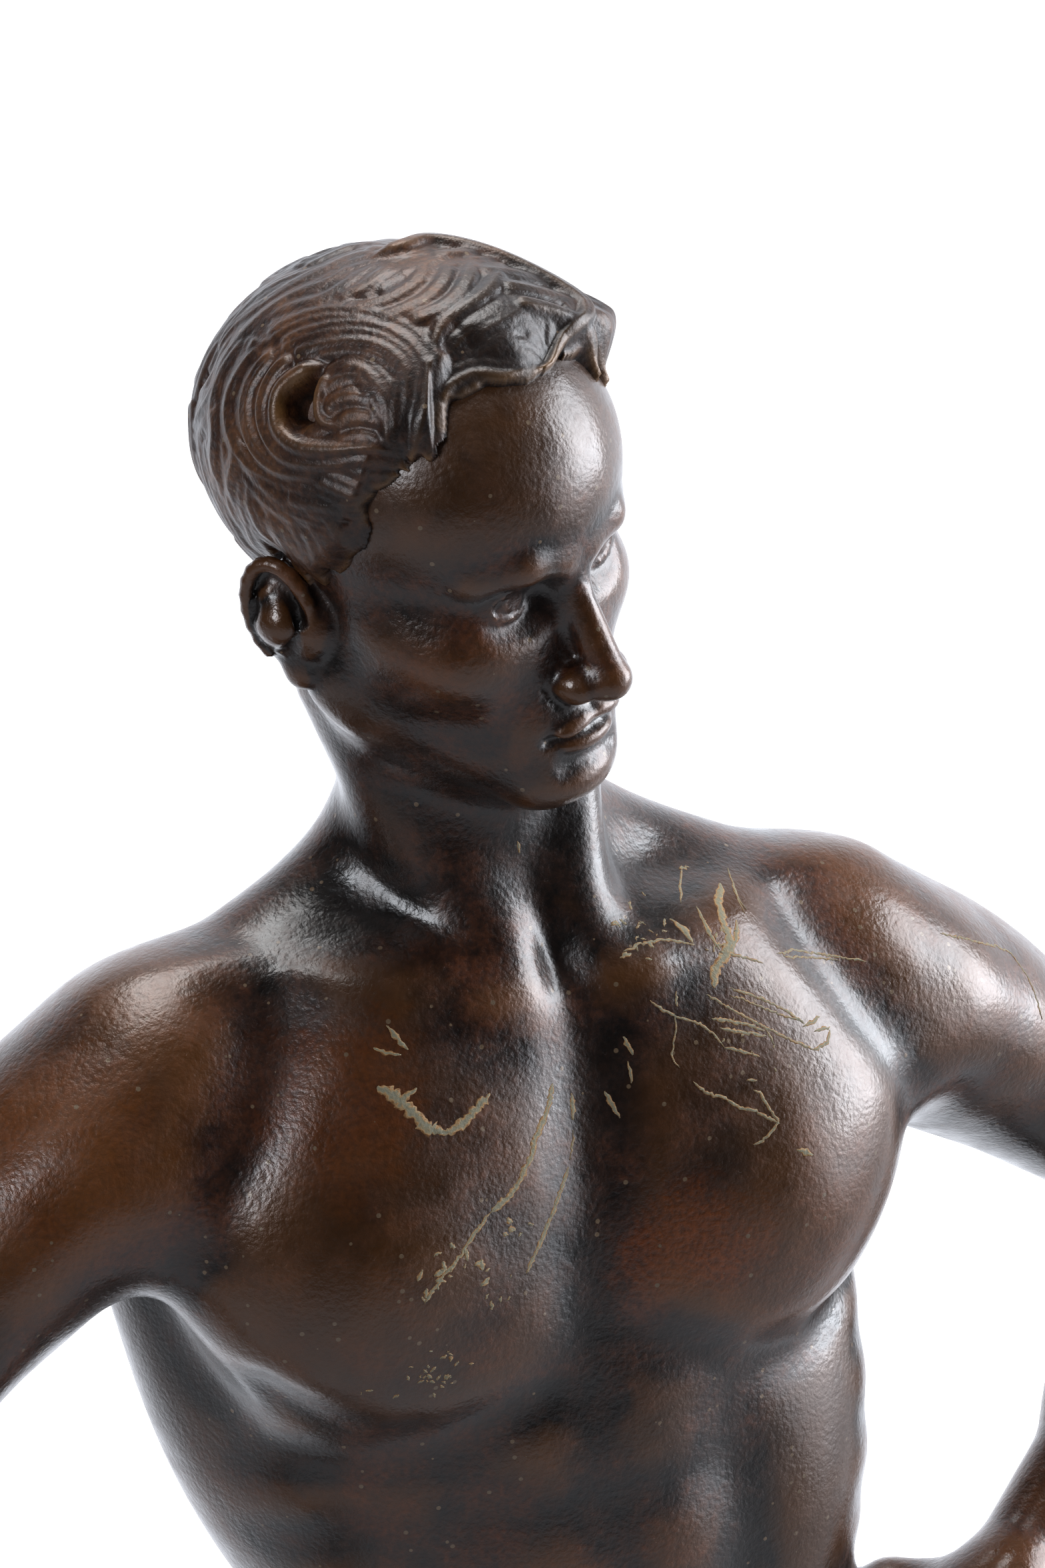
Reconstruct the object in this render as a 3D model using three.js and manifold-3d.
import * as THREE from "three";
import { mergeVertices } from "three/addons/utils/BufferGeometryUtils.js";
import Module from "manifold-3d";

// A cast-bronze statue of a smith, bare-chested, with both arms held away from the body. The right
// hand rests on the end of a hammer that stands on a low anvil, and the left fist is on the hip. A
// leather apron is wrapped round the hips, and the bare feet stand on a low bronze base.
// Millimetres, +Z up. The figure faces -Y, and its left is +X.

// Driving dimensions
const baseHeight = 20;
const gap = 0.3; // between pieces that touch
const anvilHeight = 62;
const shaft = { at: [-80, -38], radius: 4.6, top: 268 }; // the hammer's handle
const headCell = 1.9; // of the figure's first mesh
const torsoCell = 3;
const legCell = 4.4;
const figureTriangles = 8200; // after thinning
const bronze = { color: 0x3a2419, metalness: 1, roughness: 0.35 };

const wasm = await Module();
wasm.setup();

// Small vector helpers on plain arrays
const plus = (a, b) => a.map((v, i) => v + b[i]);
const minus = (a, b) => a.map((v, i) => v - b[i]);
const times = (a, s) => a.map((v) => v * s);
const dot = (a, b) => a[0] * b[0] + a[1] * b[1] + a[2] * b[2];
const size = (a) => Math.hypot(...a);
const unit = (a) => times(a, 1 / size(a));
const cross = (a, b) => [
  a[1] * b[2] - a[2] * b[1],
  a[2] * b[0] - a[0] * b[2],
  a[0] * b[1] - a[1] * b[0],
];

// A frame is an origin and three axes. Forms are written in the frame that is current.
const world = { origin: [0, 0, 0], axes: [[1, 0, 0], [0, 1, 0], [0, 0, 1]], scale: 1 };
let frame = world;
const direction = (p) =>
  plus(plus(times(frame.axes[0], p[0]), times(frame.axes[1], p[1])), times(frame.axes[2], p[2]));
const scaled = (length) => length * (frame.scale ?? 1);
const toWorld = (p) => plus(frame.origin, direction(p.map(scaled)));
function inFrame(next, make) {
  const before = frame;
  frame = next;
  make();
  frame = before;
}
const halfBody = (side) => ({ origin: [0, 0, 0], axes: [[side, 0, 0], [0, 1, 0], [0, 0, 1]] });

// A limb's frame: z runs along the limb, x outward, y to the back.
function limbFrame(from, to, outward) {
  const along = unit(minus(to, from));
  const out = unit(minus(outward, times(along, dot(outward, along))));
  let back = cross(along, out);
  if (back[1] < 0) back = times(back, -1);
  return { origin: from, axes: [out, back, along] };
}

function turned(degrees) {
  const [a, b, c] = degrees.map((d) => (d * Math.PI) / 180);
  const e = new THREE.Matrix4().makeRotationFromEuler(new THREE.Euler(a, b, c, "ZYX")).elements;
  return [[e[0], e[1], e[2]], [e[4], e[5], e[6]], [e[8], e[9], e[10]]];
}

// The figure is a list of groups, each a list of forms. A form has a signed distance, and a reach
// outside which it changes nothing.
const groups = [];
function group(name, blend, make) {
  groups.push({ name, blend, forms: [] });
  make();
}
const record = (form) => groups[groups.length - 1].forms.push(form);

function egg({ at, half: given, turn = [0, 0, 0], blend: k = 6, cut = false }) {
  const half = given.map(scaled);
  const blend = scaled(k);
  const axes = turned(turn).map(direction);
  const c = toWorld(at);
  const inverse = half.map((h) => 1 / h);
  record({
    c, reach: Math.max(...half), blend, mode: cut ? "cut" : "join",
    distance(x, y, z) {
      const p = [x - c[0], y - c[1], z - c[2]];
      let k0 = 0, k1 = 0;
      for (let i = 0; i < 3; i++) {
        const a = axes[i];
        const q = (a[0] * p[0] + a[1] * p[1] + a[2] * p[2]) * inverse[i];
        k0 += q * q;
        k1 += q * q * inverse[i] * inverse[i];
      }
      k0 = Math.sqrt(k0);
      return k1 < 1e-12 ? -Math.min(...half) : (k0 * (k0 - 1)) / Math.sqrt(k1);
    },
  });
}

function toSegment(x, y, z, a, along, length2) {
  const px = x - a[0];
  const py = y - a[1];
  const pz = z - a[2];
  let share = (px * along[0] + py * along[1] + pz * along[2]) / length2;
  share = share < 0 ? 0 : share > 1 ? 1 : share;
  return { far: Math.hypot(px - along[0] * share, py - along[1] * share, pz - along[2] * share), share };
}

function limb({ from, to, radii, blend: k = 6, cut = false }) {
  const blend = scaled(k);
  const a = toWorld(from);
  const b = toWorld(to);
  const along = minus(b, a);
  const length2 = dot(along, along);
  const [ra, rb] = radii.map(scaled);
  record({
    c: times(plus(a, b), 0.5),
    reach: Math.sqrt(length2) / 2 + Math.max(ra, rb), blend, mode: cut ? "cut" : "join",
    distance(x, y, z) {
      const { far, share } = toSegment(x, y, z, a, along, length2);
      return far - ra - (rb - ra) * share;
    },
  });
}

// A soft dent, or a swelling where its depth is negative.
function press({ at, half: given, depth: d, turn = [0, 0, 0] }) {
  const half = given.map(scaled), depth = scaled(d);
  const axes = turned(turn).map(direction);
  const c = toWorld(at);
  record({
    c, reach: Math.max(...half) * 2.6, mode: "press",
    distance(x, y, z) {
      const p = [x - c[0], y - c[1], z - c[2]];
      let q2 = 0;
      for (let i = 0; i < 3; i++) {
        const q = (axes[i][0] * p[0] + axes[i][1] * p[1] + axes[i][2] * p[2]) / half[i];
        q2 += q * q;
      }
      return depth * Math.exp(-q2);
    },
  });
}

// A dent that follows a line, or a ridge where its depth is negative
function groove({ line, radius: r, depth: d }) {
  const radius = scaled(r);
  const depth = scaled(d);
  const points = line.map(toWorld);
  const middle = times(points.reduce(plus), 1 / points.length);
  const segments = points.slice(1).map((end, i) => {
    const along = minus(end, points[i]);
    return { from: points[i], along, length2: dot(along, along) };
  });
  record({
    c: middle, reach: Math.max(...points.map((q) => size(minus(q, middle)))) + radius * 2.6, mode: "press",
    distance(x, y, z) {
      let least = Infinity;
      for (const { from, along, length2 } of segments)
        least = Math.min(least, toSegment(x, y, z, from, along, length2).far);
      return depth * Math.exp(-((least / radius) ** 2));
    },
  });
}

const joined = (a, b, k) => {
  const h = Math.max(k - Math.abs(a - b), 0);
  return Math.min(a, b) - (k > 0 ? (h * h) / (4 * k) : 0);
};
const kept = (a, b, k) => -joined(-a, -b, k);

const farAway = 60;
function distanceTo(list, x, y, z) {
  let d = farAway;
  for (const g of list) {
    let own = farAway;
    for (const f of g.forms) {
      const v = f.distance(x, y, z);
      if (f.mode === "join") own = joined(own, v, f.blend);
      else if (f.mode === "cut") own = kept(own, -v, f.blend);
      else own += v;
    }
    d = joined(d, own, g.blend);
  }
  return d;
}

// The groups with only the forms that reach a ball.
function near(list, c, radius) {
  const found = [];
  for (const g of list) {
    const softest = Math.max(...g.forms.map((f) => f.blend ?? 0)); // a later form may blend this far
    const margin = radius + g.blend + 1.3 * softest;
    const forms = g.forms.filter((f) => size(minus(f.c, c)) < f.reach + margin);
    if (forms.some((f) => f.mode === "join")) found.push({ blend: g.blend, forms });
  }
  return found;
}
// Joints, from the ground under the feet. The weight is on the left leg.
const shoulder = (side) => [side * 45.5, 5, side < 0 ? 379.5 : 378];
const upperArmLength = 89;
const forearmLength = 73;
const rightElbow = plus(shoulder(-1), times(unit([-0.8, -0.06, -0.6]), upperArmLength));
const leftElbow = plus(shoulder(1), times(unit([0.83, 0.12, -0.54]), upperArmLength));
const rightWrist = plus(rightElbow, times(unit([0.4, -0.37, -0.84]), forearmLength));
const leftWrist = plus(leftElbow, times(unit([-0.78, -0.36, -0.51]), forearmLength));
const hip = (side) => [10 + side * 22, 3, side < 0 ? 245 : 250];
const rightKnee = [-24, -14, 130];
const leftKnee = [24, -1, 133];
const rightAnkle = [-33, 13, 21];
const leftAnkle = [11, 4, 21];

group("torso", 0, () => {
  egg({ at: [3.5, 3, 341], half: [40.5, 26, 53], turn: [0, -10, 0], blend: 0 }); // rib cage
  egg({ at: [0, 7, 372], half: [35, 17, 21], blend: 14 });
  egg({ at: [9, 1, 292], half: [34, 22, 46], blend: 14 });
  egg({ at: [10, 4, 254], half: [41, 26, 34], turn: [0, -5, 0], blend: 18 });
  egg({ at: [32, 3, 321], half: [12.5, 18, 26], blend: 12 }); // the flank folded over the standing leg
  limb({ from: [-1, 7.5, 388], to: [-7, 3, 424], radii: [12.5, 12.2], blend: 12 }); // neck
  for (const side of [-1, 1])
    inFrame(halfBody(side), () => {
      const lean = side < 0 ? -2.5 : 2.5;
      egg({ at: [35 + lean, 14, 346], half: [12, 13, 38], turn: [-4, 14, 0], blend: 12 }); // latissimus
      egg({ at: [19, -4, 381], half: [25, 13, 17], turn: [0, 14, 0], blend: 12 }); // upper chest
      egg({ at: [20, -7, 366], half: [26, 15.5, 24], turn: [0, -8, 4], blend: 8 }); // pectoral
      egg({ at: [23.5, -12, 357], half: [18, 10, 12.5], turn: [-6, -14, 0], blend: 9 });
      limb({ from: [26, -9, 367], to: [53, -2, 376], radii: [12, 9], blend: 10 }); // its tendon
      limb({ from: [5, 10, 404], to: [40, 8, 386], radii: [7.5, 7.6], blend: 14 }); // trapezius
      egg({ at: [40, 2, 383], half: [13, 12, 10.5], blend: 10 }); // under the end of the collar bone
      egg({ at: [21, 19, 363], half: [20, 10, 26], turn: [0, 20, 0], blend: 10 }); // shoulder blade
      egg({ at: [12 + lean, 18, 302], half: [11, 9, 44], blend: 10 }); // back column
      egg({ at: [29 + lean * 4, -3, 287], half: [11, 17, 14], blend: 9 }); // oblique over the hip bone
      egg({ at: [19.5 + lean * 4, 17, 244], half: [20, 13.5, 23], blend: 8 }); // buttock
    });
  limb({ from: [-19, 7, 427], to: [-5, -8.5, 393], radii: [4.6, 3.4], blend: 5 }); // neck cords
  limb({ from: [7.5, 3, 427], to: [4, -8.5, 393], radii: [4.2, 3.2], blend: 5 });
  for (const side of [-1, 1])
    inFrame(halfBody(side), () => {
      groove({ line: [[34, -12, 393], [41, -15, 382], [46, -14, 371]], radius: 5, depth: 1.2 });
      groove({ line: [[6, -12, 391], [20, -10, 394], [38, 0, 396], [50, 4, 394]], radius: 4.5, depth: -1.4 });
      press({ at: [17, 0, 400], half: [11, 9, 7], depth: 1.8 }); // behind the collar bone
    });
  const underPectorals = [
    [[-7, -25, 345], [-20, -23, 340.5], [-29, -20, 341], [-40, -15, 350]],
    [[5, -26, 351], [20, -24, 344], [31, -20, 342], [42, -10, 346]],
  ];
  for (const line of underPectorals) groove({ line, radius: 3.8, depth: 2 });
  groove({ line: [[1, -18, 386], [0, -25, 366], [-1, -27, 345]], radius: 6, depth: 1.8 }); // breastbone
  groove({ line: [[-1, -26, 342], [8, -22, 288]], radius: 5, depth: 1.2 }); // middle of the belly
  for (const [z, x] of [[329, 2], [312, 4.5], [298, 7]]) // belly muscles
    groove({ line: [[x - 15, -20, z + 1], [x, -24, z], [x + 15, -20, z + 1]], radius: 4.5, depth: 0.7 });
  groove({ line: [[-16, -21, 336], [-9, -21, 292]], radius: 6, depth: 1.1 });
  groove({ line: [[18, -21, 336], [26, -19, 292]], radius: 6, depth: 1.1 });
  for (const z of [342, 331, 320, 309]) {
    press({ at: [41 + (342 - z) * 0.15, -8, z], half: [7, 9, 4.4], depth: -1, turn: [0, 20, 30] }); // ribs
    press({ at: [-36 + (342 - z) * 0.25, -8, z], half: [7, 9, 4.4], depth: -1, turn: [0, -20, -30] });
  }
  groove({ line: [[0, 28, 392], [9, 26, 280]], radius: 5, depth: 3 }); // spine
  press({ at: [0, -11, 394.5], half: [4.5, 6, 5], depth: 2.4 }); // pit of the neck
  press({ at: [9, -21, 288], half: [2.4, 4, 2.6], depth: 2 }); // navel
});

for (const [side, elbow, wrist] of [[-1, rightElbow, rightWrist], [1, leftElbow, leftWrist]]) {
  const top = shoulder(side);
  group("arm", 7, () => {
    inFrame(limbFrame(top, elbow, [side, 0, 0.6]), () => {
      limb({ from: [0, 0, -3], to: [0, 0, 89], radii: [13.5, 8.8], blend: 0 });
      egg({ at: [4, 0, 14], half: [12.5, 16.5, 28], blend: 7 }); // deltoid
      egg({ at: [0, -6, 53], half: [9.2, 9.2, 26], blend: 5 }); // biceps
      egg({ at: [0, 7, 47], half: [10, 9, 30], blend: 5 }); // triceps
      egg({ at: [0, 2.6, 88], half: [7.4, 6.8, 8.6], blend: 6 }); // elbow
    });
    inFrame(limbFrame(elbow, wrist, [side, 0, 0.2]), () => {
      limb({ from: [0, 0, 0], to: [0, 0, 73], radii: [7.9, 5.6], blend: 6 });
      egg({ at: [4, -2, 18], half: [8, 8.6, 25], blend: 5 });
      egg({ at: [-4, 2, 21], half: [8, 8, 24], blend: 5 });
      egg({ at: [0, 0, 72], half: [5.6, 7.4, 7], blend: 4 }); // wrist
    });
  });
}

// The right hand, closed round the shaft. Angles run from its outer side over the front.
group("right hand", 4, () => {
  const round = (angle, far, z) => {
    const a = (angle * Math.PI) / 180;
    return [shaft.at[0] - Math.cos(a) * far, shaft.at[1] - Math.sin(a) * far, z];
  };
  limb({ from: rightWrist, to: round(-35, 10, 250), radii: [6, 7], blend: 0 });
  egg({ at: round(-5, 9.5, 248), half: [5.2, 10, 12.5], blend: 5 }); // palm
  [[257, 3.2], [251, 3.3], [245, 3.2], [239.4, 2.8]].forEach(([z, r]) => {
    limb({ from: round(20, 9, z + 1), to: round(62, 9.5, z), radii: [r, r], blend: 1.5 });
    limb({ from: round(62, 9.5, z), to: round(125, 8.2, z - 0.6), radii: [r, r], blend: 0.6 });
    limb({ from: round(125, 8.2, z - 0.6), to: round(190, 7.6, z - 1), radii: [r, r * 0.9], blend: 0.6 });
  });
  limb({ from: round(-60, 10, 250), to: round(-110, 9.5, 258), radii: [5, 4], blend: 3 }); // thumb
  limb({ from: round(-110, 9.5, 258), to: round(-185, 8.4, 263), radii: [3.7, 3.1], blend: 1.5 });
});

// The left hand, a fist with its knuckles on the hip. x is the thumb's side, y the back of the hand.
const handAlong = unit([-0.82, -0.1, -0.56]);
const handBack = unit(minus([0.15, -0.85, 0.35], times(handAlong, dot([0.15, -0.85, 0.35], handAlong))));
group("left hand", 4, () => {
  inFrame({ origin: leftWrist, axes: [cross(handAlong, handBack), handBack, handAlong] }, () => {
    limb({ from: [0, 0, -4], to: [0, 0, 8], radii: [6, 7], blend: 0 });
    egg({ at: [-0.5, -1, 10], half: [10, 5.6, 12], blend: 5 }); // back of the hand
    egg({ at: [5, -7, 7], half: [5, 5, 8], blend: 4 }); // ball of the thumb
    [[7.6, 18.5, 3.1], [2.2, 19.6, 3.2], [-3.2, 19, 3.1], [-8.2, 17.4, 2.8]].forEach(([x, z, r]) => {
      limb({ from: [x * 0.8, 1, 9], to: [x, 1.5, z], radii: [2.6, r + 0.2], blend: 1.5 });
      limb({ from: [x, 1.5, z], to: [x, -8.5, z + 1], radii: [r, r], blend: 0.6 });
      limb({ from: [x, -8.5, z + 1], to: [x, -10, z - 8], radii: [r, r * 0.9], blend: 0.6 });
    });
    limb({ from: [8, -8, 6], to: [8.5, -12, 13], radii: [4, 3.4], blend: 2 });
    limb({ from: [8.5, -12, 13], to: [0, -14.5, 15], radii: [3.3, 2.8], blend: 1 });
  });
});

for (const [side, knee, ankle, out] of [[-1, rightKnee, rightAnkle, 18], [1, leftKnee, leftAnkle, 16]]) {
  group("leg", 9, () => {
    inFrame(limbFrame(hip(side), knee, [side, 0, 0]), () => {
      limb({ from: [0, 2, -4], to: [0, 0, 116], radii: [24, 14], blend: 0 });
      egg({ at: [3, -8, 50], half: [18, 14, 46], blend: 8 }); // front of the thigh
      egg({ at: [0, 9, 58], half: [16, 12, 42], blend: 8 });
      egg({ at: [-8, -6, 97], half: [8, 8, 15], blend: 6 });
      egg({ at: [8, -6, 92], half: [6, 7, 14], blend: 6 });
      egg({ at: [0, -11, 117], half: [8, 5.5, 9], blend: 5 }); // knee cap
    });
    inFrame(limbFrame(knee, ankle, [side, 0, 0]), () => {
      limb({ from: [0, 0, 0], to: [0, 0, 108], radii: [12.5, 7.6], blend: 8 });
      egg({ at: [-4.5, 7, 32], half: [10.5, 10, 28], blend: 6 }); // calf
      egg({ at: [5, 7, 29], half: [9.5, 9, 26], blend: 6 });
      limb({ from: [0, -8, 8], to: [0, -5, 90], radii: [4.2, 3.4], blend: 5 }); // shin
      limb({ from: [0, 8, 60], to: [0, 10, 104], radii: [4.2, 3.2], blend: 5 }); // heel cord
      egg({ at: [7, 1, 106], half: [3.2, 4, 5], blend: 3 }); // ankle bones
      egg({ at: [-7, -1, 104], half: [3.2, 4, 5], blend: 3 });
    });
  });
  const turnOut = (out * side * Math.PI) / 180;
  const [s, c] = [Math.sin(turnOut), Math.cos(turnOut)];
  const foot = { origin: [ankle[0], ankle[1], 0], axes: [[side * c, side * s, 0], [-s, c, 0], [0, 0, 1]] };
  group("foot", 5, () => {
    inFrame(foot, () => {
      egg({ at: [0, 9, 8.5], half: [9, 11, 9.5], blend: 0 }); // heel
      limb({ from: [0, 0, 20], to: [1, -30, 7], radii: [8.6, 6], blend: 8 }); // instep
      egg({ at: [1, -14, 5], half: [10.5, 32, 6], blend: 5 });
      egg({ at: [1, -32, 6], half: [13, 12, 6.4], blend: 5 }); // ball
      limb({ from: [-7.5, -38, 5.2], to: [-6.5, -49, 4.6], radii: [4.6, 4.3], blend: 2 }); // toes
      [[-0.8, -50, 3.6], [4.2, -47.6, 3.3], [8.6, -44, 3.1], [12.2, -39.6, 2.9]].forEach(([x, y, r]) =>
        limb({ from: [x * 0.9, y + 14, 5.5], to: [x, y, r + 0.3], radii: [r, r], blend: 1.5 }),
      );
      press({ at: [-11, -12, 1], half: [7, 14, 5], depth: 3 }); // arch
    });
  });
}

// The head, in its own frame: eyes at half its height, and the hair above and behind
const headHeight = 57;
const headTurn = { yaw: 23, nod: 6, lean: -10 };
const headAt = [-9.5, -1, 446];
const headFrame = {
  origin: headAt,
  axes: turned([headTurn.nod, headTurn.lean, headTurn.yaw]),
  scale: headHeight / 63.5,
};
group("head", 4, () => {
  inFrame(headFrame, () => {
    egg({ at: [0, 4.6, 9.5], half: [21.3, 27, 22], blend: 0 }); // skull
    egg({ at: [0, -7, -9], half: [16.5, 14.5, 23], blend: 6 }); // face
    egg({ at: [0, -7.5, 11.5], half: [18.2, 13.7, 15.5], blend: 7 }); // forehead
    limb({ from: [0, 6, -6], to: [0, 8, -26], radii: [13.2, 11.6], blend: 8 }); // nape
    egg({ at: [0, -19, -20], half: [8.5, 4.6, 6.8], blend: 4 }); // mouth mound
    egg({ at: [0, -19.6, -27.3], half: [6, 4.8, 4.4], blend: 4 }); // chin
    for (const side of [-1, 1]) {
      const [out, back, up] = headFrame.axes;
      inFrame({ ...headFrame, axes: [times(out, side), back, up] }, () => {
        limb({ from: [16.2, 3.5, -14], to: [4.5, -16.5, -27.5], radii: [4, 4], blend: 6 }); // jaw
        egg({ at: [11.4, -13, -7.8], half: [6.4, 5, 4.8], blend: 7 }); // cheekbone
        egg({ at: [8.4, -22, -0.4], half: [6, 4.6, 3.9], blend: 3, cut: true }); // socket
        egg({ at: [8.3, -15, -0.2], half: [4.4, 3.9, 3.6], blend: 1.2 }); // eye
        limb({ from: [3, -20.8, 4.2], to: [13, -16.6, 4.8], radii: [1.7, 1.4], blend: 3 }); // brow
        egg({ at: [3.3, -23.4, -13], half: [2.3, 3.2, 2.4], blend: 1.6 }); // wing of the nose
        egg({ at: [21, 7.4, -5.5], half: [2.2, 5.4, 8.8], turn: [-12, 0, -20], blend: 1.2 }); // ear
        press({ at: [23, 6, -5], half: [2, 2.6, 4.5], depth: 1.2 });
      });
    }
    limb({ from: [0, -20.2, 1.5], to: [0, -26.6, -12], radii: [1.9, 2.7], blend: 2.4 }); // nose
    egg({ at: [0, -22.6, -18.6], half: [5.6, 2, 1.5], blend: 1 }); // lips
    egg({ at: [0, -22.4, -21.6], half: [5, 2.1, 1.7], blend: 1 });
    groove({ line: [[-5.6, -23, -20.2], [5.6, -23, -20.2]], radius: 1, depth: 0.8 });
    groove({ line: [[-4, -23, -24.6], [4, -23, -24.6]], radius: 2, depth: 0.8 });
  });
});

const hairCap = { at: [0, 3.6, 11.4], half: [23.4, 29.8, 25] };
function onHair(across, up, lift) {
  const a = (across * Math.PI) / 180;
  const b = (up * Math.PI) / 180;
  const way = [Math.sin(a) * Math.cos(b), -Math.cos(a) * Math.cos(b), Math.sin(b)];
  return way.map((w, i) => hairCap.at[i] + w * (hairCap.half[i] + lift));
}
group("hair", 1.2, () => {
  inFrame(headFrame, () => {
    egg({ ...hairCap, blend: 0 });
    egg({ at: [14, -8, 15.5], half: [11.5, 12, 11.5], blend: 5 }); // the forelock's mass
    limb({ from: [0, 10, -4], to: [0, 13, -16], radii: [14.5, 10], blend: 5 }); // nape
    egg({ at: [0, -31, -9], half: [19, 19.5, 27], blend: 2, cut: true }); // clear of the face
    egg({ at: [24, -2, -12], half: [9, 12, 12], blend: 3, cut: true }); // and of the ears
    egg({ at: [-24, -2, -12], half: [9, 12, 12], blend: 3, cut: true });
    const rows = [
      { from: 84, to: 52, count: 9, sweep: 26, size: 3.2 },
      { from: 56, to: 26, count: 13, sweep: 24, size: 3 },
      { from: 28, to: 2, count: 14, sweep: 16, size: 2.6, behind: 52 },
      { from: 4, to: -22, count: 14, sweep: 10, size: 2.3, behind: 100 },
    ];
    rows.forEach(({ from, to, count, sweep, size: r, behind = 0 }, row) => {
      for (let i = 0; i < count; i++) {
        const across = ((i + row * 0.5) / count) * 360 - 180;
        if (Math.abs(across) < behind) continue;
        const middle = onHair(across + sweep * 0.35, (from + to) / 2, -1);
        limb({ from: onHair(across, from, -2), to: middle, radii: [r * 0.8, r], blend: 1 });
        limb({ from: middle, to: onHair(across + sweep, to, -0.8), radii: [r, r * 0.5], blend: 1 });
      }
    });
    for (let i = -3; i <= 3; i++) // the fringe
      limb({ from: onHair(i * 15 - 6, 42, -1.2), to: onHair(i * 15 + 8, 22, -1), radii: [3, 1.8], blend: 1 });
  });
});

// The apron, a leather skirt with folds that run down from the belt
function skirt({ at, top, bottom, half, flare, folds, thick }) {
  record({
    c: [at[0], at[1], (top + bottom) / 2], reach: 90, blend: 2, mode: "join",
    distance(x, y, z) {
      const t = Math.min(Math.max((top - z) / (top - bottom), -0.1), 1.2);
      const cx = at[0] + at[2] * t;
      const cy = at[1] + at[3] * t;
      const a = half[0] + flare[0] * t;
      const b = half[1] + flare[1] * t;
      const angle = Math.atan2((x - cx) / a, -(y - cy) / b);
      let fold = 0;
      for (const [count, phase, depth] of folds)
        fold += depth * t * Math.cos(count * angle + phase + t * 0.6);
      const far = Math.hypot((x - cx) / a, (y - cy) / b);
      const wall = (far - 1) * Math.min(a, b) * 0.92 - fold;
      const hem = bottom + 5 * Math.cos(angle - 2.4);
      const solid = Math.max(wall, z - top, hem - z);
      const hollow = Math.max(wall + thick, z - hem - 13);
      return kept(solid, -hollow, 2);
    },
  });
}
group("apron", 1.5, () => {
  skirt({
    at: [10, 3.5, -14, -4], top: 286, bottom: 152, half: [43.5, 28.5], flare: [7, 9],
    folds: [[7, 0.4, 1.5], [11, 2.1, 1.1], [3, 1.2, 1.6]], thick: 4,
  });
});
group("belt", 1, () => {
  skirt({
    at: [10, 3.5, 0, 0], top: 289, bottom: 277, half: [45.5, 30.5], flare: [0.6, 0.6], folds: [], thick: 30,
  });
});

// A closed mesh of the zero surface, by surface nets. Its cells grow with cellAt(height).
function surface(list, { low, high, cellAt, middle, across, deep }) {
  const heights = [low];
  while (heights.at(-1) < high) heights.push(heights.at(-1) + cellAt(heights.at(-1)));
  const counts = [across, deep, heights.length];
  const place = (i, j, k) => {
    const cell = cellAt(heights[k]);
    return [middle[0] + (i - (across - 1) / 2) * cell, middle[1] + (j - (deep - 1) / 2) * cell, heights[k]];
  };
  const steps = [1, across, across * deep];
  const value = new Float32Array(across * deep * heights.length).fill(farAway);
  sample(list, value, counts, steps, place);
  fillPinches(value, counts, steps);
  fillVoids(value, steps);
  return netOf(value, counts, steps, place);
}

function eachCell(low, high, act) {
  for (let k = low[2]; k < high[2]; k++)
    for (let j = low[1]; j < high[1]; j++)
      for (let i = low[0]; i < high[0]; i++)
        act(i, j, k);
}

// Block by block, so that only the forms that reach a block are asked there
function sample(list, value, counts, steps, place) {
  const block = 6;
  eachCell([0, 0, 0], counts.map((n) => Math.ceil(n / block)), (...at) => {
    const low = at.map((n) => n * block);
    const high = low.map((n, a) => Math.min(n + block, counts[a]));
    const corners = [];
    eachCell([0, 0, 0], [2, 2, 2], (...end) => {
      corners.push(place(...end.map((e, a) => (e ? high[a] - 1 : low[a]))));
    });
    const centre = times(corners.reduce(plus), 1 / 8);
    const radius = Math.max(...corners.map((c) => size(minus(c, centre))));
    const reached = near(list, centre, radius);
    if (!reached.length) return;
    const atCentre = distanceTo(reached, ...centre);
    const whole = Math.abs(atCentre) > radius * 1.7 + 2;
    eachCell(low, high, (i, j, k) => {
      value[i + j * steps[1] + k * steps[2]] = whole ? atCentre : distanceTo(reached, ...place(i, j, k));
    });
  });
}

// Corners that would pinch the surface to an edge or a point are filled.
function fillPinches(value, counts, steps) {
  const filled = -1e-3;
  const inside = (n) => value[n] < 0;
  let changed = true;
  const fill = (n) => {
    value[n] = filled;
    changed = true;
  };
  while (changed) {
    changed = false;
    eachCell([0, 0, 0], counts.map((n) => n - 1), (i, j, k) => {
      const n = i + j * steps[1] + k * steps[2];
      for (const [a, b] of [[0, 1], [1, 2], [0, 2]]) {
        const [p, q, r, s] = [n, n + steps[a], n + steps[b], n + steps[a] + steps[b]];
        if (inside(p) === inside(s) && inside(q) === inside(r) && inside(p) !== inside(q))
          fill(inside(p) ? q : p);
      }
      const corners = [0, 1, 2, 3, 4, 5, 6, 7].map((c) => cornerOf(n, c, steps));
      const count = corners.filter(inside).length;
      for (let c = 0; c < 4; c++) {
        const [p, q] = [corners[c], corners[7 - c]];
        if (count === 2 && inside(p) && inside(q)) fill(corners[c ^ 1]);
        if (count === 6 && !inside(p) && !inside(q)) fill(p);
      }
    });
  }
}

// What the outside doesn't reach is filled.
function fillVoids(value, steps) {
  const open = new Uint8Array(value.length);
  const waiting = [0];
  open[0] = 1;
  while (waiting.length) {
    const n = waiting.pop();
    for (const step of steps)
      for (const next of [n - step, n + step]) {
        if (next < 0 || next >= value.length || open[next] || value[next] < 0) continue;
        open[next] = 1;
        waiting.push(next);
      }
  }
  open.forEach((reached, n) => {
    if (!reached && value[n] >= 0) value[n] = -1e-3;
  });
}
const cornerOf = (n, c, steps) => n + (c & 1) + ((c >> 1) & 1) * steps[1] + (c >> 2) * steps[2];

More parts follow.
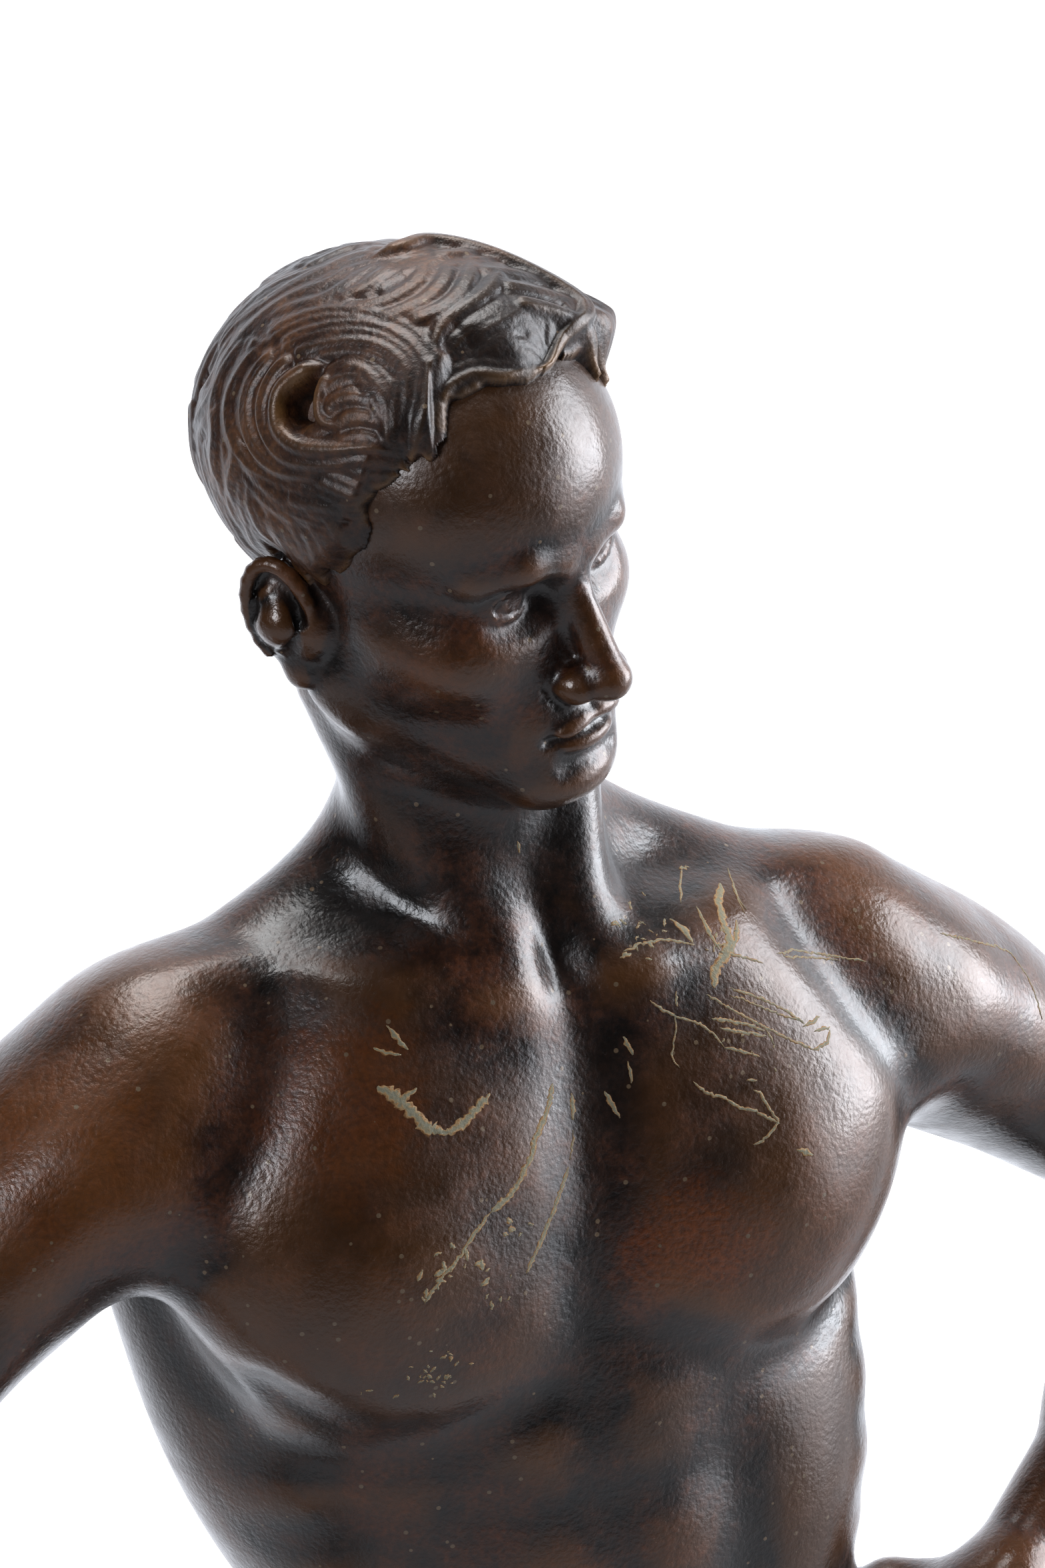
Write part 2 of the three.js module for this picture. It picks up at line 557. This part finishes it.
function netOf(value, counts, steps, place) {
  const edges = [
    [0, 1], [2, 3], [4, 5], [6, 7],
    [0, 2], [1, 3], [4, 6], [5, 7],
    [0, 4], [1, 5], [2, 6], [3, 7],
  ];
  const vertexOf = new Map();
  const points = [];
  eachCell([0, 0, 0], counts.map((n) => n - 1), (i, j, k) => {
    const n = i + j * steps[1] + k * steps[2];
    const v = [0, 1, 2, 3, 4, 5, 6, 7].map((c) => value[cornerOf(n, c, steps)]);
    const crossed = edges.filter(([a, b]) => v[a] < 0 !== v[b] < 0);
    if (!crossed.length) return;
    const on = crossed.map(([a, b]) => {
      const t = Math.min(0.98, Math.max(0.02, v[a] / (v[a] - v[b])));
      const ends = [a, b].map((c) => place(i + (c & 1), j + ((c >> 1) & 1), k + (c >> 2)));
      return plus(times(ends[0], 1 - t), times(ends[1], t));
    });
    vertexOf.set(n, points.length);
    points.push(times(on.reduce(plus), 1 / on.length));
  });
  const faces = [];
  eachCell([1, 1, 1], counts.map((n) => n - 1), (i, j, k) => {
    const n = i + j * steps[1] + k * steps[2];
    for (let a = 0; a < 3; a++) {
      if (value[n] < 0 === value[n + steps[a]] < 0) continue;
      const [u, w] = [steps[(a + 1) % 3], steps[(a + 2) % 3]];
      const quad = [n, n - u, n - u - w, n - w].map((m) => vertexOf.get(m));
      if (value[n] < 0) quad.reverse();
      const far = (p, q) => size(minus(points[quad[p]], points[quad[q]]));
      const [p, q, r, s] = quad;
      if (far(0, 2) < far(1, 3)) faces.push([p, r, q], [p, s, r]);
      else faces.push([p, s, q], [q, s, r]);
    }
  });
  return { points, faces };
}

// Each vertex moves along the slope of the distance to lie on the true surface.
function settle(list, points, cellAt) {
  const reached = (p) => near(list, p, 3);
  return points.map((point) => {
    let p = point;
    const here = reached(p);
    const most = cellAt(p[2]) * 0.3;
    for (let pass = 0; pass < 2; pass++) {
      const d = distanceTo(here, ...p);
      const slope = [0, 1, 2].map((a) => {
        const step = [0, 1, 2].map((b) => (a === b ? 0.05 : 0));
        return (distanceTo(here, ...plus(p, step)) - distanceTo(here, ...minus(p, step))) / 0.1;
      });
      const steep = Math.max(dot(slope, slope), 0.25);
      p = minus(p, times(slope, Math.min(most, Math.max(-most, d)) / steep));
    }
    return p;
  });
}

// Fewer triangles, by collapsing the edges that move the surface least. weightAt keeps more of them
// where carving is fine.
function thinned({ points, faces }, target, weightAt) {
  const place = points.slice();
  const quadrics = points.map(() => new Float64Array(10));
  const facesOf = points.map(() => new Set());
  const normalOf = ([a, b, c]) => cross(minus(place[b], place[a]), minus(place[c], place[a]));
  const alive = faces.map((face) => face.slice());
  alive.forEach((face, f) => {
    const normal = normalOf(face);
    const area = size(normal);
    if (area < 1e-9) return;
    const plane = [...times(normal, 1 / area), -dot(times(normal, 1 / area), place[face[0]])];
    const weight = area * weightAt(place[face[0]]);
    for (const v of face) addPlane(quadrics[v], plane, weight);
  });
  alive.forEach((face, f) => face.forEach((v) => facesOf[v].add(f)));
  const neighbours = (v) => new Set([...facesOf[v]].flatMap((f) => alive[f]).filter((w) => w !== v));
  const survives = (v, other, target) =>
    [...facesOf[v]].every((f) => {
      if (alive[f].includes(other)) return true;
      const before = normalOf(alive[f]);
      const old = place[v];
      place[v] = target;
      const after = normalOf(alive[f]);
      const [p, q, r] = alive[f].map((w) => place[w]);
      place[v] = old;
      const longest = Math.max(size(minus(p, q)), size(minus(q, r)), size(minus(r, p)));
      return dot(before, after) > 0.35 * size(before) * size(after) && size(after) > 0.12 * longest * longest;
    });
  let left = alive.length;
  while (left > target) {
    const edges = [];
    alive.forEach((face) => {
      if (!face) return;
      face.forEach((a, i) => {
        const b = face[(i + 1) % 3];
        if (a < b) edges.push({ a, b, ...bestPlace(quadrics[a], quadrics[b], place[a], place[b]) });
      });
    });
    edges.sort((e, f) => e.cost - f.cost);
    const touched = new Set();
    const before = left;
    for (const { a, b, at } of edges.slice(0, Math.ceil(edges.length / 5))) {
      if (left <= target) break;
      if (touched.has(a) || touched.has(b)) continue;
      const around = neighbours(a);
      const other = neighbours(b);
      if ([...around].filter((v) => other.has(v)).length !== 2) continue;
      if (!survives(a, b, at) || !survives(b, a, at)) continue;
      for (const f of facesOf[b]) {
        if (alive[f].includes(a)) {
          for (const v of alive[f]) if (v !== b) facesOf[v].delete(f);
          alive[f] = null;
          left--;
        } else {
          alive[f] = alive[f].map((v) => (v === b ? a : v));
          facesOf[a].add(f);
        }
      }
      facesOf[b].clear();
      place[a] = at;
      for (let i = 0; i < 10; i++) quadrics[a][i] += quadrics[b][i];
      for (const v of [...around, ...other]) touched.add(v);
    }
    if (left === before) break;
  }
  const renumbered = new Map();
  const kept = [];
  const renumber = (v) => {
    if (!renumbered.has(v)) renumbered.set(v, kept.push(place[v]) - 1);
    return renumbered.get(v);
  };
  return { faces: alive.filter(Boolean).map((face) => face.map(renumber)), points: kept };
}

function addPlane(quadric, [a, b, c, d], weight) {
  [a * a, a * b, a * c, a * d, b * b, b * c, b * d, c * c, c * d, d * d].forEach((v, i) => {
    quadric[i] += v * weight;
  });
}

// Where the merged vertex of an edge lies best, and the square error there
function bestPlace(qa, qb, pa, pb) {
  const q = qa.map((v, i) => v + qb[i]);
  const middle = times(plus(pa, pb), 0.5);
  const pull = 1e-3 * (q[0] + q[4] + q[7]);
  const rows = [[q[0] + pull, q[1], q[2]], [q[1], q[4] + pull, q[5]], [q[2], q[5], q[7] + pull]];
  const right = [pull * middle[0] - q[3], pull * middle[1] - q[6], pull * middle[2] - q[8]];
  const volume = dot(rows[0], cross(rows[1], rows[2]));
  let at = middle;
  if (Math.abs(volume) > 1e-12) {
    const solved = [0, 1, 2].map((i) => {
      const swapped = rows.map((row, r) => row.map((v, c) => (c === i ? right[r] : v)));
      return dot(swapped[0], cross(swapped[1], swapped[2])) / volume;
    });
    if (size(minus(solved, middle)) < size(minus(pa, pb)) * 1.5) at = solved;
  }
  const [x, y, z] = at;
  const error = q[0] * x * x + 2 * q[1] * x * y + 2 * q[2] * x * z + 2 * q[3] * x + q[4] * y * y
    + 2 * q[5] * y * z + 2 * q[6] * y + q[7] * z * z + 2 * q[8] * z + q[9];
  return { at, cost: error + 1e-4 * dot(minus(pa, pb), minus(pa, pb)) };
}

// Between drawn shapes and solids
function solidOf(geometry) {
  geometry.deleteAttribute("normal");
  geometry.deleteAttribute("uv");
  const merged = mergeVertices(geometry, 1e-4);
  return new wasm.Manifold(
    new wasm.Mesh({
      numProp: 3,
      vertProperties: new Float32Array(merged.attributes.position.array),
      triVerts: new Uint32Array(merged.index.array),
    }),
  );
}

function solidOfNet({ points, faces }) {
  return new wasm.Manifold(
    new wasm.Mesh({
      numProp: 3,
      vertProperties: new Float32Array(points.flat()),
      triVerts: new Uint32Array(faces.flat()),
    }),
  );
}

function geometryOf(solid) {
  const mesh = solid.getMesh();
  const geometry = new THREE.BufferGeometry();
  geometry.setAttribute("position", new THREE.BufferAttribute(new Float32Array(mesh.vertProperties), 3));
  geometry.setIndex(new THREE.BufferAttribute(new Uint32Array(mesh.triVerts), 1));
  geometry.computeVertexNormals();
  return geometry;
}

const block = ([wide, deep, tall], [x, y, z]) =>
  solidOf(new THREE.BoxGeometry(wide, deep, tall).translate(x, y, z));
const rod = (radius, from, to, [x, y]) => {
  const upright = new THREE.CylinderGeometry(radius, radius, to - from, 24).rotateX(Math.PI / 2);
  return solidOf(upright.translate(x, y, (from + to) / 2));
};

// A solid through rings with the same number of points: each is [points, height].
function stack(rings) {
  const points = rings.flatMap(([ring, z]) => ring.map(([x, y]) => [x, y, z]));
  const n = rings[0][0].length;
  const faces = [];
  for (let r = 0; r + 1 < rings.length; r++)
    for (let i = 0; i < n; i++) {
      const [a, b] = [r * n + i, r * n + ((i + 1) % n)];
      faces.push([a, b, b + n], [a, b + n, a + n]);
    }
  for (const [r, up] of [[0, false], [rings.length - 1, true]]) {
    const ring = points.slice(r * n, r * n + n);
    const middle = points.push(times(ring.reduce(plus), 1 / n)) - 1;
    for (let i = 0; i < n; i++) {
      const [a, b] = [r * n + i, r * n + ((i + 1) % n)];
      faces.push(up ? [a, b, middle] : [b, a, middle]);
    }
  }
  return solidOfNet({ points, faces });
}

function roundedBox([x, y], [halfWide, halfDeep], radius, perCorner) {
  const points = [];
  for (let corner = 0; corner < 4; corner++)
    for (let i = 0; i <= perCorner; i++) {
      const a = ((corner + i / perCorner) * Math.PI) / 2;
      const [sx, sy] = [[1, 1], [-1, 1], [-1, -1], [1, -1]][corner];
      points.push([
        x + sx * (halfWide - radius) + Math.cos(a) * radius,
        y + sy * (halfDeep - radius) + Math.sin(a) * radius,
      ]);
    }
  return points;
}

function makeFigure() {
  const cellAt = (z) => {
    const [start, from, to] = z > 232 ? [412, headCell, torsoCell] : [232, torsoCell, legCell];
    return from + (to - from) * Math.min(1, Math.max(0, (start - z) / 100));
  };
  const net = surface(groups, {
    low: -9.5, high: 500, cellAt, middle: [0, -4],
    across: Math.ceil(286 / headCell), deep: Math.ceil(130 / headCell),
  });
  net.points = settle(groups, net.points, cellAt);
  const weightAt = ([x, , z]) => (z > 412 ? 5 : z > 232 && z < 300 && (x < -62 || x > 38) ? 4 : 1);
  const thin = thinned(net, figureTriangles, weightAt);
  const floor = block([400, 300, 40], [0, 0, gap - 20]);
  const grip = rod(shaft.radius + gap, 200, 290, shaft.at);
  return solidOfNet(thin).subtract(floor).subtract(grip);
}

function makeHammer() {
  const foot = anvilHeight + gap;
  const handle = new THREE.LatheGeometry(
    [
      [0, foot + 4], [4.2, foot + 4], [4.2, foot + 40], [5, 170], [shaft.radius, 215],
      [shaft.radius, 265], [3.4, shaft.top], [0, shaft.top + 0.5],
    ].map(([r, z]) => new THREE.Vector2(r, z)),
    20,
  ).rotateX(Math.PI / 2);
  const [x, y] = shaft.at;
  const head = stack(
    [[1.6, foot], [0, foot + 2], [0, foot + 17], [1.6, foot + 19]].map(([inset, z]) => [
      roundedBox([x, y], [19 - inset, 9.5 - inset], 3.4, 3), z,
    ]),
  );
  return head.add(solidOf(handle.translate(x, y, 0)));
}

function makeAnvil() {
  const [x, y] = [shaft.at[0] - 5, shaft.at[1]];
  const body = stack(
    [
      [0, 22, 15, gap], [0, 22, 15, 8], [0, 18.5, 11.5, 11], [0, 14.6, 8.8, 18], [0, 13, 7.6, 28],
      [1, 14.4, 8.4, 38],
      [4, 24, 10.6, 44.5], [4, 26, 11.5, 47], [4, 26, 11.5, anvilHeight - 1], [4, 25, 10.5, anvilHeight],
    ].map(([forward, halfWide, halfDeep, z]) => [
      roundedBox([x + forward, y], [halfWide, halfDeep], 3, 3), z,
    ]),
  );
  const horn = new THREE.CylinderGeometry(1.4, 7.2, 36, 20).rotateZ(Math.PI / 2).rotateX(0.07);
  return body.add(solidOf(horn.translate(x - 34.7, y, anvilHeight - 8.6)));
}

const makeBase = () =>
  stack(
    [
      [0, -baseHeight], [0, -baseHeight + 7], [2.5, -baseHeight + 9], [2.5, -baseHeight + 10.5],
      [5, -baseHeight + 12.5], [3.6, -baseHeight + 15], [3.6, -1.4], [5, 0],
    ].map(([inset, z]) => [roundedBox([-28, -12], [92 - inset, 60 - inset], 16 - inset, 7), z]),
  );

const part = new THREE.Group();
const solids = { figure: makeFigure(), hammer: makeHammer(), anvil: makeAnvil(), base: makeBase() };
for (const [name, solid] of Object.entries(solids)) {
  const mesh = new THREE.Mesh(geometryOf(solid), new THREE.MeshStandardMaterial(bronze));
  mesh.name = name;
  mesh.geometry.translate(28, 12, baseHeight);
  part.add(mesh);
}
export default part;
